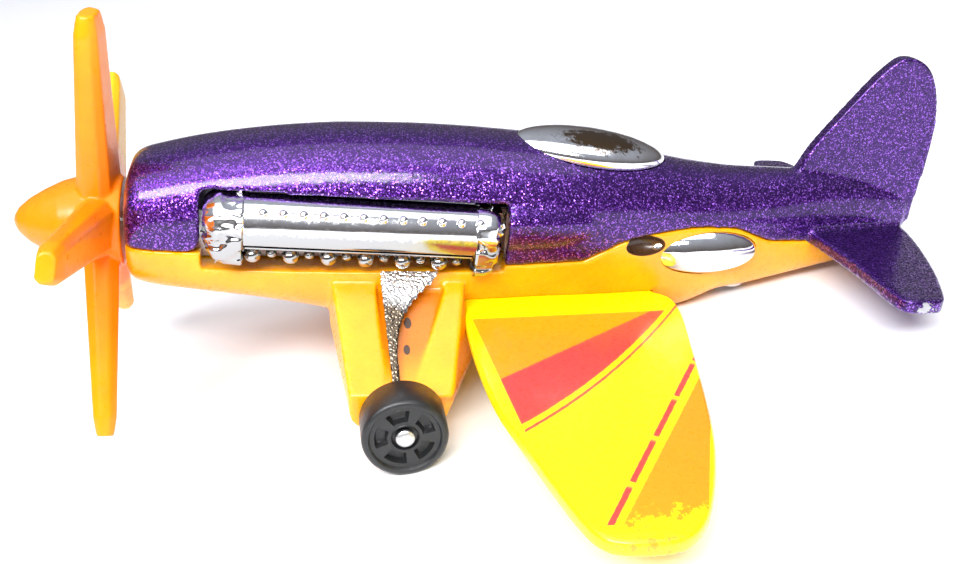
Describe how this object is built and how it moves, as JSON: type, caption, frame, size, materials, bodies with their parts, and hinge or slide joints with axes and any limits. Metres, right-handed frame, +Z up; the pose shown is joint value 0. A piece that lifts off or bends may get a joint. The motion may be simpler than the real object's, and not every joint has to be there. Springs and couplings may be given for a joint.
{
  "type": "toy airplane",
  "caption": "Die-cast toy fighter plane with a spinning propeller, side engine banks, bubble canopy, wing plate and free-rolling wheels on faired legs.",
  "frame": {"origin": "on the ground under the middle of the plane's bounding box, as it stands on its wheels and heel", "axes": "+X from nose to tail along the ground, +Y to the plane's right side, +Z up"},
  "size_m": [0.0826, 0.079, 0.0374],
  "materials": {
    "purple_enamel": "glossy metallic flake",
    "yellow_plastic": "glossy",
    "wing_plastic": "glossy with printed bands",
    "plated_chrome": "vacuum plated",
    "orange_plastic": "translucent",
    "steel": "bright wire",
    "wheel_plastic": "satin black",
    "bare_casting": "bare die-cast metal"
  },
  "bodies": {
    "airframe": {"body_shell": "purple_enamel", "base": "yellow_plastic", "wing": "wing_plastic", "canopy": "plated_chrome", "engine_bank_left": "plated_chrome", "engine_bank_right": "plated_chrome", "air_scoop_left": "plated_chrome", "air_scoop_right": "plated_chrome", "gear_strut_left": "plated_chrome", "gear_strut_right": "plated_chrome", "insert_carrier": "plated_chrome", "axle": "steel", "rivet_front": "bare_casting", "rivet_rear": "bare_casting"},
    "propeller": {"propeller": "orange_plastic", "propeller_shaft": "steel"},
    "left_wheel": {"wheel_left": "wheel_plastic"},
    "right_wheel": {"wheel_right": "wheel_plastic"}
  },
  "joints": [
    {"name": "propeller_spin", "type": "hinge", "parent": "airframe", "child": "propeller", "pos_m": [-0.03429, 0, 0.0194], "axis": [-0.9744, 0, 0.225], "continuous": true},
    {"name": "left_wheel_spin", "type": "hinge", "parent": "airframe", "child": "left_wheel", "pos_m": [-0.01234, -0.01725, 0.0035], "axis": [0, 1, 0], "continuous": true},
    {"name": "right_wheel_spin", "type": "hinge", "parent": "airframe", "child": "right_wheel", "pos_m": [-0.01234, 0.01725, 0.0035], "axis": [0, 1, 0], "continuous": true}
  ]
}
